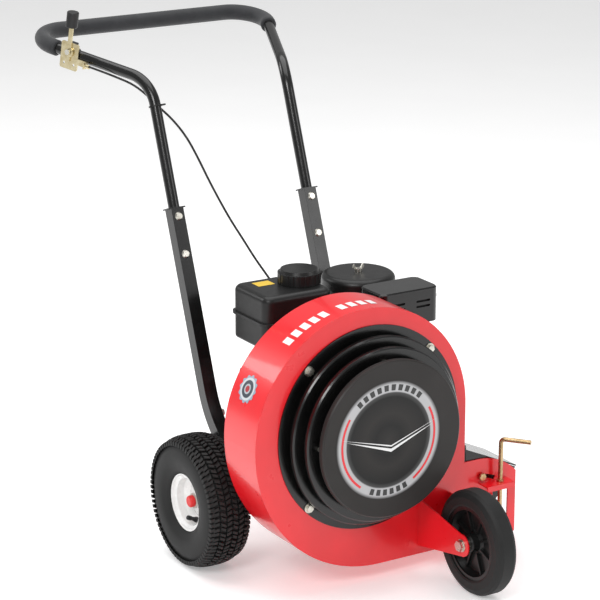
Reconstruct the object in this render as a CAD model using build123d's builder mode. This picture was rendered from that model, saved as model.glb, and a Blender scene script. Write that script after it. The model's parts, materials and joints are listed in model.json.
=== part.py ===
from build123d import *
from math import atan2, cos, pi, radians, sin, sqrt, tan
import os

# Walk behind leaf blower. Millimetres, +Z up, travel towards -Y, machine's left is +X.
# The machine is drawn about its centre plane and rear axle, then moved by ORIGIN_SHIFT so that
# the origin is on the ground under the middle of its box.
ORIGIN_SHIFT = (-42.7, -73.1, 0.0)

# Fan housing
SHEET = 3.0
FAN_Z = 352.0
FRONT_Y = -285.0
BACK_Y = -157.0
FRONT_INNER_Y = FRONT_Y + SHEET
BACK_INNER_Y = BACK_Y - SHEET
RIGHT_WALL_X = 248.0
SPIRAL_START_Z = 358.0
SPIRAL_R = (255.0, 270.0, 306.0)
OUTLET_END_X = 387.0
OUTLET_TOP_Z = 224.0
EYE_R = 150.0

# Discharge deflector and its lock pin
PIVOT_X = 285.0
PIVOT_Z = 84.0
OUTLET_ARC_R = 140.0
STOP_R = 100.0
STOP_START = 85.4
DEFLECTOR_TRAVEL = 19.0
STUD_R = 4.0
STUD_HEAD_R = 5.4
PIN_X = 332.0
PIN_Y = -303.0
PIN_R = 5.0
PIN_TOP_Z = 268.0
PIN_BOTTOM_Z = 60.0
PIN_ARM = (41.0, -53.0)
SHELF_Z = 170.0
LOWER_SHELF_Z = 69.0

# Intake guard
RING_R = 223.4
LOUVRE_R = (206.0, 189.5)
LOUVRE_Y = (-317.0, -346.0)
COVER_R = 171.0
COVER_Y = -375.0
STUD_CIRCLE_R = 160.0
GUARD_STUD_R = 5.0
RING_BOLT_CIRCLE_R = 212.0

# Impeller and shaft
IMPELLER_R = 212.0
SHAFT_R = 9.525
SHAFT_CLEARANCE = 0.075

# Wheels
REAR_R = 146.0
REAR_WIDTH = 98.0
REAR_X = 250.0
RIM_R = 65.0
AXLE_R = 9.5
HUB_HALF = 14.0
FRONT_R = 114.0
FRONT_WIDTH = 50.0
FRONT_X = 169.0
FRONT_AXLE_Y = -448.0
FRONT_HUB_R = 80.0
FRONT_BOLT_R = 8.0
FORK_GAP = 38.0
FORK_SHEET = 3.0

# Handle
LEG_X = 171.0
LEG_SIZE = 30.0
LEG_WALL = 2.0
RAIL_Z = 225.0
RAIL_BEND_R = 200.0
LEG_TOP = (240.0, 732.0)
BEND_UP = 285.7
CORNER = (323.0, 690.0, 1064.0)
TUBE_R = 12.5
TUBE_WALL = 2.0
TUBE_INSERT = 130.0
GRIP_R = 18.5
GRIP_START = 0.69
BOLT_DOWN = (18.0, 102.0)

# Deck and engine
DECK_Z = 240.0
DECK_SHEET = 6.0
DECK_HALF = 156.0
ENGINE_Z = DECK_Z + DECK_SHEET
CASE_HALF = 95.0
CASE_BACK_Y = -10.0
CASE_FRONT_Y = -150.0
CYLINDER_TILT = 25.0
CYLINDER_Y = -85.0
CYLINDER_Z = 380.0
CYLINDER_LENGTH = 82.0
TANK_X = (-125.0, 45.0)
TANK_Y = (-75.0, 72.0)
TANK_Z = (478.0, 598.0)
TANK_SEAM_Z = 537.0
CAP_X = 3.0
CAP_R = 47.0
CLEANER_X = 172.0
CLEANER_Y = 25.0
CLEANER_R = 82.0
CLEANER_Z = (535.0, 560.0, 590.0)

# Throttle on the right-hand tube, as a share of the way from the bend to the corner
THROTTLE_AT = 0.57
CABLE_R = 2.5

os.makedirs("parts", exist_ok=True)


def across(y):
    """Plane facing forward at this y: sketch x is X, sketch y is Z, extrude goes forward."""
    return Plane.XZ.offset(-y)


def side(x):
    """Plane facing the machine's left at this x: sketch x is Y, sketch y is Z."""
    return Plane.YZ.offset(x)


def level(z):
    return Plane.XY.offset(z)


def save(piece, name):
    """Move one finished sub-part to the shared origin and write it."""
    placed = piece.part.moved(Location(ORIGIN_SHIFT))
    placed.label = name
    export_step(placed, f"parts/{name}.step")


def on_circle(radius, angle):
    return (radius * cos(radians(angle)), radius * sin(radians(angle)))


# ---------------------------------------------------------------- fan housing

def outline_of_housing():
    """Outline of the volute and its outlet, seen from the front."""
    top = (RIGHT_WALL_X - SPIRAL_R[0], SPIRAL_START_Z + SPIRAL_R[0])
    left = (top[0] - SPIRAL_R[1], top[1] - SPIRAL_R[1])
    bottom = (left[0] + SPIRAL_R[2], left[1] - SPIRAL_R[2])
    arc_top = (PIVOT_X, PIVOT_Z + OUTLET_ARC_R)
    reach = OUTLET_END_X - PIVOT_X
    arc_end = (OUTLET_END_X, PIVOT_Z + sqrt(OUTLET_ARC_R ** 2 - reach ** 2))
    with BuildSketch() as outline:
        with BuildLine():
            Line((RIGHT_WALL_X, OUTLET_TOP_Z), (RIGHT_WALL_X, SPIRAL_START_Z))
            TangentArc((RIGHT_WALL_X, SPIRAL_START_Z), top, tangent=(0, 1))
            TangentArc(top, left, tangent=(-1, 0))
            TangentArc(left, bottom, tangent=(0, -1))
            Line(bottom, (OUTLET_END_X, bottom[1]))
            Line((OUTLET_END_X, bottom[1]), arc_end)
            TangentArc(arc_top, arc_end, tangent=(1, 0))
            Line(arc_top, (RIGHT_WALL_X, OUTLET_TOP_Z))
        make_face()
    return outline.sketch


HOUSING = outline_of_housing()

with BuildSketch() as stop_slot:
    for radius, mode in ((STOP_R + STUD_R + 0.5, Mode.ADD), (STOP_R - STUD_R - 0.5, Mode.SUBTRACT)):
        with Locations((PIVOT_X, PIVOT_Z)):
            Circle(radius, mode=mode)
    with BuildLine():
        first = radians(STOP_START + 3)
        last = radians(STOP_START - DEFLECTOR_TRAVEL - 3)
        Polyline((PIVOT_X, PIVOT_Z), (PIVOT_X + 200 * cos(first), PIVOT_Z + 200 * sin(first)),
                 (PIVOT_X + 200 * cos(last), PIVOT_Z + 200 * sin(last)), (PIVOT_X, PIVOT_Z))
    make_face(mode=Mode.INTERSECT)
STOP_SLOT = stop_slot.sketch



with BuildPart() as front_plate:
    with BuildSketch(across(FRONT_INNER_Y)):
        add(HOUSING)
        with Locations((0, FAN_Z)):
            Circle(EYE_R, mode=Mode.SUBTRACT)
            with PolarLocations(RING_BOLT_CIRCLE_R, 4, start_angle=45):
                Circle(4.2, mode=Mode.SUBTRACT)
            with PolarLocations(STUD_CIRCLE_R, 4, start_angle=0):
                Circle(GUARD_STUD_R + 0.1, mode=Mode.SUBTRACT)
        with Locations((PIVOT_X, PIVOT_Z)):
            Circle(STUD_R + 0.1, mode=Mode.SUBTRACT)
        with Locations((346, 112)):
            Rectangle(40, 76, mode=Mode.SUBTRACT)
        add(STOP_SLOT, mode=Mode.SUBTRACT)
    extrude(amount=SHEET)
save(front_plate, "housing_front_plate")

with BuildPart() as wrapper:
    with BuildSketch(across(BACK_INNER_Y)):
        add(HOUSING)
        offset(amount=-SHEET, mode=Mode.SUBTRACT)
    extrude(amount=BACK_INNER_Y - FRONT_INNER_Y)
    with BuildSketch(across(BACK_Y)):
        with Locations((RIGHT_WALL_X + 100, 190)):
            Rectangle(200, 300, mode=Mode.ADD)
    extrude(amount=200, mode=Mode.SUBTRACT)
save(wrapper, "housing_wrapper")

with BuildPart() as back_plate:
    with BuildSketch(across(BACK_Y)):
        add(HOUSING)
        with Locations((0, FAN_Z)):
            Circle(46, mode=Mode.SUBTRACT)
        with Locations((PIVOT_X, PIVOT_Z)):
            Circle(STUD_R + 0.1, mode=Mode.SUBTRACT)
    extrude(amount=SHEET)
save(back_plate, "housing_back_plate")

# ---------------------------------------------------------------- intake guard


def dished_ring(radius, inner, y, lip):
    """A pressed sheet ring whose outer edge turns back by lip."""
    half = SHEET / 2
    with BuildPart() as ring:
        with BuildSketch(Plane.XY):
            with BuildLine():
                Polyline((inner, y), (inner, y + SHEET), (radius - SHEET - half, y + SHEET),
                         (radius - SHEET, y + SHEET + half), (radius - SHEET, y + lip),
                         (radius, y + lip), (radius, y + SHEET), (radius - SHEET, y), (inner, y))
            make_face()
        revolve(axis=Axis.Y)
    return ring.part


with BuildPart() as guard_holes:
    with BuildSketch(across(0)):
        with PolarLocations(STUD_CIRCLE_R, 4, start_angle=0):
            Circle(GUARD_STUD_R + 0.1)
    extrude(amount=-COVER_Y - SHEET)


GUARD_LIFT = Location((0, 0, FAN_Z))

with BuildPart() as ring_part:
    with BuildSketch(across(FRONT_Y)):
        with Locations((0, FAN_Z)):
            Circle(RING_R)
            Circle(EYE_R, mode=Mode.SUBTRACT)
            with PolarLocations(RING_BOLT_CIRCLE_R, 4, start_angle=45):
                Circle(4.2, mode=Mode.SUBTRACT)
            with PolarLocations(STUD_CIRCLE_R, 4):
                Circle(GUARD_STUD_R + 0.1, mode=Mode.SUBTRACT)
    extrude(amount=SHEET)
save(ring_part, "intake_ring")

louvres = []
for radius, y in zip(LOUVRE_R, LOUVRE_Y):
    with BuildPart() as louvre:
        add(dished_ring(radius, EYE_R - 20, y, 12))
        add(guard_holes.part, mode=Mode.SUBTRACT)
    louvres.append(louvre.part.moved(GUARD_LIFT))
with BuildPart() as louvre_set:
    add(louvres)
save(louvre_set, "louvre_rings")

with BuildPart() as cover:
    add(dished_ring(COVER_R, 0, COVER_Y, 14))
cover.part = cover.part.moved(GUARD_LIFT)
save(cover, "intake_cover")

with BuildPart() as cover_studs:
    with BuildSketch(across(FRONT_Y + 12)):
        with Locations((0, FAN_Z)):
            with PolarLocations(STUD_CIRCLE_R, 4, start_angle=0):
                Circle(GUARD_STUD_R)
    extrude(amount=FRONT_Y + 12 - COVER_Y - SHEET)
save(cover_studs, "cover_studs")

with BuildPart() as intake_bolts:
    with BuildSketch(across(FRONT_Y + 10)):
        with Locations((0, FAN_Z)):
            with PolarLocations(RING_BOLT_CIRCLE_R, 4, start_angle=45):
                Circle(4)
    extrude(amount=13.2)
    with BuildSketch(across(FRONT_Y - SHEET)):
        with Locations((0, FAN_Z)):
            with PolarLocations(RING_BOLT_CIRCLE_R, 4, start_angle=45):
                Circle(11)
    extrude(amount=1.6)
    with BuildSketch(across(FRONT_Y - SHEET - 1.6)):
        with Locations((0, FAN_Z)):
            with PolarLocations(RING_BOLT_CIRCLE_R, 4, start_angle=45):
                RegularPolygon(8, 6)
    extrude(amount=6)
    with BuildSketch(across(FRONT_INNER_Y + 6.5)):
        with Locations((0, FAN_Z)):
            with PolarLocations(RING_BOLT_CIRCLE_R, 4, start_angle=45):
                RegularPolygon(8, 6)
    extrude(amount=6.5)
save(intake_bolts, "intake_bolts")

# ---------------------------------------------------------------- impeller and shaft

IMPELLER_BACK_Y = BACK_INNER_Y - 9.0
IMPELLER_FRONT_Y = FRONT_INNER_Y + 16.0
BLADE_COUNT = 8

with BuildPart() as impeller:
    with BuildSketch(across(IMPELLER_BACK_Y)):
        with Locations((0, FAN_Z)):
            Circle(IMPELLER_R - 10)
    extrude(amount=4)
    with BuildSketch(across(IMPELLER_BACK_Y)):
        with Locations((0, FAN_Z)):
            Circle(32)
    extrude(amount=46)
    with BuildSketch(across(IMPELLER_BACK_Y - 4)):
        with Locations((0, FAN_Z)):
            with PolarLocations(IMPELLER_R / 2 + 20, BLADE_COUNT):
                Rectangle(IMPELLER_R - 44, 4, rotation=0)
    extrude(amount=IMPELLER_BACK_Y - 4 - IMPELLER_FRONT_Y)
    with BuildSketch(across(IMPELLER_BACK_Y)):
        with Locations((0, FAN_Z)):
            Circle(SHAFT_R)
    extrude(amount=40, mode=Mode.SUBTRACT)
    with BuildSketch(across(IMPELLER_BACK_Y)):
        with Locations((0, FAN_Z)):
            Circle(5)
    extrude(amount=50, mode=Mode.SUBTRACT)
save(impeller, "impeller")

SHAFT_END_Y = IMPELLER_BACK_Y - 40.0
with BuildPart() as crankshaft:
    with BuildSketch(across(CASE_BACK_Y - 5)):
        with Locations((0, FAN_Z)):
            Circle(SHAFT_R)
    extrude(amount=CASE_BACK_Y - 5 - SHAFT_END_Y)
    with BuildSketch(across(SHAFT_END_Y + 20)):
        with Locations((0, FAN_Z)):
            Circle(4.8)
    extrude(amount=20, mode=Mode.SUBTRACT)
save(crankshaft, "crankshaft")

with BuildPart() as impeller_bolt:
    with BuildSketch(across(SHAFT_END_Y + 18)):
        with Locations((0, FAN_Z)):
            Circle(4.75)
    extrude(amount=24)
    with BuildSketch(across(IMPELLER_BACK_Y - 46)):
        with Locations((0, FAN_Z)):
            Circle(15)
    extrude(amount=3)
    with BuildSketch(across(IMPELLER_BACK_Y - 49)):
        with Locations((0, FAN_Z)):
            RegularPolygon(9, 6)
    extrude(amount=7)
save(impeller_bolt, "impeller_bolt")

# ---------------------------------------------------------------- deflector

CHEEK_SHEET = 2.0
CHEEK_GAP = 1.0
CHEEK_Y = (BACK_INNER_Y - CHEEK_GAP, FRONT_INNER_Y + CHEEK_GAP + CHEEK_SHEET)
FLAP_REAR = (252.0, 250.0)
FLAP_FRONT = (390.0, 187.0)

with BuildPart() as deflector:
    for y in CHEEK_Y:
        with BuildSketch(across(y)):
            with BuildLine():
                Polyline((PIVOT_X - 20, PIVOT_Z), (FLAP_REAR[0] + 1, FLAP_REAR[1] - 2),
                         (FLAP_FRONT[0] - 1, FLAP_FRONT[1] - 1), (PIVOT_X + 20, PIVOT_Z - 4),
                         (PIVOT_X - 20, PIVOT_Z))
            make_face()
            with Locations((PIVOT_X, PIVOT_Z)):
                Circle(20)
                Circle(STUD_R + 0.08, mode=Mode.SUBTRACT)
        extrude(amount=CHEEK_SHEET)
    with BuildSketch(across(CHEEK_Y[0])):
        with BuildLine():
            Polyline((FLAP_REAR[0], FLAP_REAR[1] - 3), FLAP_FRONT, (FLAP_FRONT[0] + 1, FLAP_FRONT[1] + 3),
                     (FLAP_REAR[0] + 3, FLAP_REAR[1] + 1), (FLAP_REAR[0] + 2, FLAP_REAR[1] + 11),
                     (FLAP_REAR[0] - 1, FLAP_REAR[1] + 11), (FLAP_REAR[0], FLAP_REAR[1] - 3))
        make_face()
    extrude(amount=CHEEK_Y[0] - FRONT_INNER_Y - CHEEK_GAP)
    stud_x, stud_z = on_circle(STOP_R, STOP_START)
    with BuildSketch(across(CHEEK_Y[1] - 1)):
        with Locations((PIVOT_X + stud_x, PIVOT_Z + stud_z)):
            Circle(STUD_R)
    extrude(amount=CHEEK_Y[1] - 1 - FRONT_Y + 2)
    with BuildSketch(across(FRONT_Y - 1)):
        with Locations((PIVOT_X + stud_x, PIVOT_Z + stud_z)):
            Circle(STUD_HEAD_R)
    extrude(amount=5)
save(deflector, "deflector")

with BuildPart() as pivots:
    with BuildSketch(across(FRONT_INNER_Y + 9.5)):
        with Locations((PIVOT_X, PIVOT_Z)):
            RegularPolygon(7.5, 6)
    extrude(amount=6)
    with BuildSketch(across(FRONT_INNER_Y + 8)):
        with Locations((PIVOT_X, PIVOT_Z)):
            Circle(STUD_R)
    extrude(amount=8 + SHEET)
    with BuildSketch(across(FRONT_Y)):
        with Locations((PIVOT_X, PIVOT_Z)):
            RegularPolygon(7.5, 6)
    extrude(amount=5.5)
    with BuildSketch(across(BACK_Y + 5.5)):
        with Locations((PIVOT_X, PIVOT_Z)):
            RegularPolygon(7.5, 6)
    extrude(amount=5.5)
    with BuildSketch(across(BACK_Y)):
        with Locations((PIVOT_X, PIVOT_Z)):
            Circle(STUD_R)
    extrude(amount=11)
    with BuildSketch(across(BACK_INNER_Y - 3.5)):
        with Locations((PIVOT_X, PIVOT_Z)):
            RegularPolygon(7.5, 6)
    extrude(amount=6)
save(pivots, "deflector_pivots")

with BuildPart() as pin_bracket:
    with BuildSketch(level(SHELF_Z - SHEET)):
        with Locations((322.5, FRONT_Y - 18)):
            Rectangle(73, 36)
        with Locations((PIN_X, PIN_Y)):
            Circle(PIN_R + 0.1, mode=Mode.SUBTRACT)
    extrude(amount=SHEET)
    with BuildSketch(across(FRONT_Y - 33)):
        with Locations((322.5, SHELF_Z - 6)):
            Rectangle(73, 12)
    extrude(amount=SHEET)
    with BuildSketch(level(LOWER_SHELF_Z - SHEET)):
        with Locations((PIN_X, FRONT_Y - 16)):
            Rectangle(34, 32)
        with Locations((PIN_X, PIN_Y)):
            Circle(PIN_R + 0.1, mode=Mode.SUBTRACT)
    extrude(amount=SHEET)
save(pin_bracket, "pin_bracket")

with BuildPart() as lock_pin:
    with BuildLine():
        FilletPolyline((PIN_X, PIN_Y, PIN_BOTTOM_Z), (PIN_X, PIN_Y, PIN_TOP_Z),
                       (PIN_X + PIN_ARM[0], PIN_Y + PIN_ARM[1], PIN_TOP_Z), radius=9)
    with BuildSketch(level(PIN_BOTTOM_Z)):
        with Locations((PIN_X, PIN_Y)):
            Circle(PIN_R)
    sweep()
    with BuildSketch(level(SHELF_Z + 0.3)):
        with Locations((PIN_X, PIN_Y)):
            Circle(PIN_R + 3)
            Circle(PIN_R - 1, mode=Mode.SUBTRACT)
    extrude(amount=4)
save(lock_pin, "lock_pin")

# ---------------------------------------------------------------- front wheel


def wheel_profile(points, x, y, z):
    """Closed profile of (across, radius) points turned about the wheel's axle."""
    with BuildPart() as wheel:
        with BuildSketch(Plane(origin=(x, y, z), x_dir=(1, 0, 0), z_dir=(0, -1, 0))):
            with BuildLine():
                Polyline(*points, points[0])
            make_face()
        revolve(axis=Axis((x, y, z), (1, 0, 0)))
    return wheel.part


half = FRONT_WIDTH / 2
with BuildPart() as front_tyre:
    add(wheel_profile([(-half + 2, FRONT_HUB_R), (-half, FRONT_HUB_R + 4), (-half, FRONT_R - 14),
                   (-half + 5, FRONT_R - 4), (-half + 12, FRONT_R), (half - 12, FRONT_R),
                   (half - 5, FRONT_R - 4), (half, FRONT_R - 14), (half, FRONT_HUB_R + 4),
                   (half - 2, FRONT_HUB_R)], FRONT_X, FRONT_AXLE_Y, FRONT_R))
save(front_tyre, "front_tyre")

WEB_HALF = 3.0
HUB_BARREL = 15.0
bore = FRONT_BOLT_R + 0.08
with BuildPart() as front_hub:
    add(wheel_profile([(-half, bore), (half, bore), (half, HUB_BARREL), (half - 3, HUB_BARREL + 3),
                   (WEB_HALF + 4, HUB_BARREL + 5), (WEB_HALF, HUB_BARREL + 12),
                   (WEB_HALF, FRONT_HUB_R - 14), (half - 8, FRONT_HUB_R - 8), (half - 4, FRONT_HUB_R - 8),
                   (half - 4, FRONT_HUB_R), (-half + 4, FRONT_HUB_R), (-half + 4, FRONT_HUB_R - 8),
                   (-half + 8, FRONT_HUB_R - 8), (-WEB_HALF, FRONT_HUB_R - 14),
                   (-WEB_HALF, HUB_BARREL + 12), (-WEB_HALF - 4, HUB_BARREL + 5),
                   (-half + 3, HUB_BARREL + 3), (-half, HUB_BARREL)],
                  FRONT_X, FRONT_AXLE_Y, FRONT_R))
    for face in (-1, 1):
        with BuildSketch(side(FRONT_X + face * WEB_HALF)):
            with Locations((FRONT_AXLE_Y, FRONT_R)):
                with PolarLocations((HUB_BARREL + FRONT_HUB_R) / 2, 8, start_angle=22.5):
                    Rectangle(FRONT_HUB_R - HUB_BARREL - 18, 4)
        extrude(amount=face * 7)
save(front_hub, "front_hub")

FORK_X = (FRONT_X - FORK_GAP - FORK_SHEET, FRONT_X + FORK_GAP)
with BuildPart() as fork:
    for x in FORK_X:
        with BuildSketch(side(x)):
            with BuildLine():
                Polyline((FRONT_Y, 57), (FRONT_Y, 165), (FRONT_Y - 14, 165),
                         (FRONT_AXLE_Y - 12, FRONT_R + 21), (FRONT_AXLE_Y - 6, FRONT_R - 23.5),
                         (FRONT_Y, 57))
            make_face()
            with Locations((FRONT_AXLE_Y, FRONT_R)):
                Circle(24.5)
                Circle(FRONT_BOLT_R + 0.2, mode=Mode.SUBTRACT)
        extrude(amount=FORK_SHEET)
save(fork, "front_fork")

with BuildPart() as front_bolt:
    with BuildSketch(side(FORK_X[0])):
        with Locations((FRONT_AXLE_Y, FRONT_R)):
            Circle(FRONT_BOLT_R)
    extrude(amount=2 * FORK_GAP + 2 * FORK_SHEET)
    for x, direction in ((FORK_X[0], -1), (FORK_X[1] + FORK_SHEET, 1)):
        with BuildSketch(side(x)):
            with Locations((FRONT_AXLE_Y, FRONT_R)):
                Circle(14)
        extrude(amount=2 * direction)
        with BuildSketch(side(x + 2 * direction)):
            with Locations((FRONT_AXLE_Y, FRONT_R)):
                RegularPolygon(12, 6)
        extrude(amount=8 * direction)
    for face in (-1, 1):
        with BuildSketch(side(FRONT_X + face * (half + 0.4))):
            with Locations((FRONT_AXLE_Y, FRONT_R)):
                Circle(13)
        extrude(amount=face * (FORK_GAP - half - 0.4))
save(front_bolt, "front_axle_bolt")

# ---------------------------------------------------------------- rear wheels

wide = REAR_WIDTH / 2
HUB_R = 17.0
BUSH_R = 13.0
BUSH_LENGTH = 12.0
for name, sign in (("left", 1), ("right", -1)):
    x = sign * REAR_X
    with BuildPart() as tyre:
        add(wheel_profile([(-32, RIM_R - 3), (-38, RIM_R), (-wide + 2, RIM_R + 18), (-wide, RIM_R + 40),
                       (-wide + 4, REAR_R - 24), (-wide + 12, REAR_R - 9), (-wide + 26, REAR_R - 2),
                       (0, REAR_R), (wide - 26, REAR_R - 2), (wide - 12, REAR_R - 9),
                       (wide - 4, REAR_R - 24), (wide, RIM_R + 40), (wide - 2, RIM_R + 18),
                       (38, RIM_R), (32, RIM_R - 3), (30, RIM_R + 3), (wide - 12, RIM_R + 22),
                       (wide - 9, RIM_R + 40), (wide - 14, REAR_R - 27), (wide - 28, REAR_R - 13),
                       (0, REAR_R - 12), (-wide + 28, REAR_R - 13), (-wide + 14, REAR_R - 27),
                       (-wide + 9, RIM_R + 40), (-wide + 12, RIM_R + 22), (-30, RIM_R + 3)],
                      x, 0, REAR_R))
    save(tyre, f"rear_tyre_{name}")
    with BuildPart() as rim:
        dish = sign * 6
        add(wheel_profile([(-HUB_HALF, BUSH_R), (HUB_HALF, BUSH_R), (HUB_HALF, HUB_R),
                       (dish + 3, HUB_R), (dish + 3, HUB_R + 14), (dish + 10, RIM_R - 22),
                       (dish + 4, RIM_R - 11), (27, RIM_R - 12), (31, RIM_R - 6), (36, RIM_R - 4),
                       (36, RIM_R - 1.5), (31, RIM_R - 3.5), (26, RIM_R - 9), (-26, RIM_R - 9),
                       (-31, RIM_R - 3.5), (-36, RIM_R - 1.5), (-36, RIM_R - 4), (-31, RIM_R - 6),
                       (-27, RIM_R - 12), (dish - 4, RIM_R - 12), (dish + 5, RIM_R - 25),
                       (dish, HUB_R + 14), (dish - 3, HUB_R), (-HUB_HALF, HUB_R)],
                      x, 0, REAR_R))
    save(rim, f"rear_rim_{name}")
    with BuildPart() as bushes:
        for end in (-1, 1):
            with BuildSketch(side(x + end * (HUB_HALF - BUSH_LENGTH))):
                with Locations((0, REAR_R)):
                    Circle(BUSH_R)
                    Circle(AXLE_R + 0.08, mode=Mode.SUBTRACT)
            extrude(amount=end * BUSH_LENGTH)
            with BuildSketch(side(x + end * HUB_HALF)):
                with Locations((0, REAR_R)):
                    Circle(HUB_R)
                    Circle(AXLE_R + 0.08, mode=Mode.SUBTRACT)
            extrude(amount=end * 2)
    save(bushes, f"rear_bushes_{name}")

AXLE_HALF = REAR_X + HUB_HALF + 12
BRACKET_X = 144.0
with BuildPart() as rear_axle:
    with BuildSketch(side(-AXLE_HALF)):
        with Locations((0, REAR_R)):
            Circle(AXLE_R)
    extrude(amount=2 * AXLE_HALF)
    for sign in (-1, 1):
        with BuildSketch(side(sign * (BRACKET_X + 6.3))):
            with Locations((0, REAR_R)):
                Circle(14)
        extrude(amount=sign * (REAR_X - HUB_HALF - 2.5 - BRACKET_X - 6.3))
save(rear_axle, "rear_axle")

with BuildPart() as hub_caps:
    for sign in (-1, 1):
        with BuildSketch(side(sign * (REAR_X + HUB_HALF + 2.6))):
            with Locations((0, REAR_R)):
                Circle(13)
        extrude(amount=sign * 11)
        with BuildSketch(side(sign * (REAR_X + HUB_HALF + 2.6))):
            with Locations((0, REAR_R)):
                Circle(AXLE_R + 0.02)
        extrude(amount=sign * 9.5, mode=Mode.SUBTRACT)
    fillet(hub_caps.edges().filter_by(GeomType.CIRCLE).group_by(Axis.X)[0], 4)
    fillet(hub_caps.edges().filter_by(GeomType.CIRCLE).group_by(Axis.X)[-1], 4)
save(hub_caps, "hub_caps")

# ---------------------------------------------------------------- deck

FLANGE_X = DECK_HALF - DECK_SHEET
FLANGE_DROP = 50.0
DECK_BACK_Y = 60.0
FOOT_X = 81.0
FOOT_Y = (-115.0, -40.0)

with BuildPart() as deck:
    with BuildSketch(level(DECK_Z)):
        with Locations((0, (BACK_Y + DECK_BACK_Y) / 2)):
            Rectangle(2 * DECK_HALF, DECK_BACK_Y - BACK_Y)
        for y in FOOT_Y:
            with Locations((FOOT_X, y), (-FOOT_X, y)):
                Circle(4.3, mode=Mode.SUBTRACT)
    extrude(amount=DECK_SHEET)
    for sign in (-1, 1):
        with BuildSketch(side(sign * FLANGE_X)):
            with BuildLine():
                Polyline((BACK_Y, DECK_Z), (BACK_Y, DECK_Z - FLANGE_DROP + 20),
                         (-60, DECK_Z - FLANGE_DROP), (50, DECK_Z - FLANGE_DROP),
                         (DECK_BACK_Y, DECK_Z - 10), (DECK_BACK_Y, DECK_Z), (BACK_Y, DECK_Z))
            make_face()
        extrude(amount=sign * DECK_SHEET)
save(deck, "base_plate")

with BuildPart() as axle_brackets:
    for sign in (-1, 1):
        with BuildSketch(side(sign * BRACKET_X)):
            with BuildLine():
                Polyline((-40, 234), (40, 234), (40, 205), (21, REAR_R - 12), (-21, REAR_R - 12),
                         (-40, 205), (-40, 234))
            make_face()
            with Locations((0, REAR_R)):
                Circle(24)
                Circle(AXLE_R + 0.05, mode=Mode.SUBTRACT)
        extrude(amount=sign * 6)
save(axle_brackets, "axle_brackets")

# ---------------------------------------------------------------- handle

lean = atan2(LEG_TOP[0] - 53.4, LEG_TOP[1] - RAIL_Z)
LEG_DIR = (0, sin(lean), cos(lean))
FACE_DIR = (0, -cos(lean), sin(lean))


def on_leg(x, down):
    """A point on a leg's axis, this far below its top."""
    return (x, LEG_TOP[0] - down * LEG_DIR[1], LEG_TOP[1] - down * LEG_DIR[2])


def bolt_plane(x, down, out=0.0):
    """Plane facing a leg's front, this far below its top and out from its axis."""
    point = on_leg(x, down)
    origin = (x, point[1] + out * FACE_DIR[1], point[2] + out * FACE_DIR[2])
    return Plane(origin=origin, x_dir=(1, 0, 0), z_dir=FACE_DIR)


LOW_BOLT = (68.0, 308.0)
for name, sign in (("left", 1), ("right", -1)):
    x = sign * LEG_X
    with BuildPart() as leg:
        with BuildLine():
            FilletPolyline((x, BACK_Y, RAIL_Z), (x, 53.4, RAIL_Z), (x, *LEG_TOP), radius=RAIL_BEND_R)
        with BuildSketch(Plane(origin=(x, BACK_Y, RAIL_Z), x_dir=(1, 0, 0), z_dir=(0, 1, 0))):
            Rectangle(LEG_SIZE, LEG_SIZE)
            Rectangle(LEG_SIZE - 2 * LEG_WALL, LEG_SIZE - 2 * LEG_WALL, mode=Mode.SUBTRACT)
        sweep()
        with BuildSketch(Plane(origin=(x, *LEG_TOP), x_dir=(1, 0, 0), z_dir=LEG_DIR)):
            Rectangle(LEG_SIZE + 11, LEG_SIZE)
            Circle(TUBE_R + 0.3, mode=Mode.SUBTRACT)
        extrude(amount=3)
        for down in BOLT_DOWN:
            with BuildSketch(bolt_plane(x, down, -30)):
                Circle(4.1)
            extrude(amount=60, mode=Mode.SUBTRACT)
    save(leg, f"lower_handle_{name}")


def between(a, b, share):
    return tuple(p + (q - p) * share for p, q in zip(a, b))


low_left = on_leg(LEG_X, TUBE_INSERT)
bend_left = on_leg(LEG_X, -BEND_UP)
corner_left = CORNER
flip = (-1, 1, 1)
low_right, bend_right, corner_right = (tuple(a * b for a, b in zip(p, flip))
                                       for p in (low_left, bend_left, corner_left))

with BuildPart() as upper_handle:
    with BuildLine():
        FilletPolyline(low_right, bend_right, corner_right, corner_left, bend_left, low_left,
                       radius=[90, 70, 70, 90])
    with BuildSketch(Plane(origin=low_right, x_dir=(1, 0, 0), z_dir=LEG_DIR)):
        Circle(TUBE_R)
        Circle(TUBE_R - TUBE_WALL, mode=Mode.SUBTRACT)
    sweep()
    for sign in (-1, 1):
        for down in BOLT_DOWN:
            with BuildSketch(bolt_plane(sign * LEG_X, down, -30)):
                Circle(4.1)
            extrude(amount=60, mode=Mode.SUBTRACT)
save(upper_handle, "upper_handle")

grip_left = between(bend_left, corner_left, GRIP_START)
grip_right = between(bend_right, corner_right, GRIP_START)
grip_dir = tuple(q - p for p, q in zip(bend_right, corner_right))
with BuildPart() as grip:
    with BuildLine():
        FilletPolyline(grip_right, corner_right, corner_left, grip_left, radius=70)
    with BuildSketch(Plane(origin=grip_right, z_dir=grip_dir)):
        Circle(GRIP_R)
        Circle(TUBE_R + 0.02, mode=Mode.SUBTRACT)
    sweep()
save(grip, "foam_grip")

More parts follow.
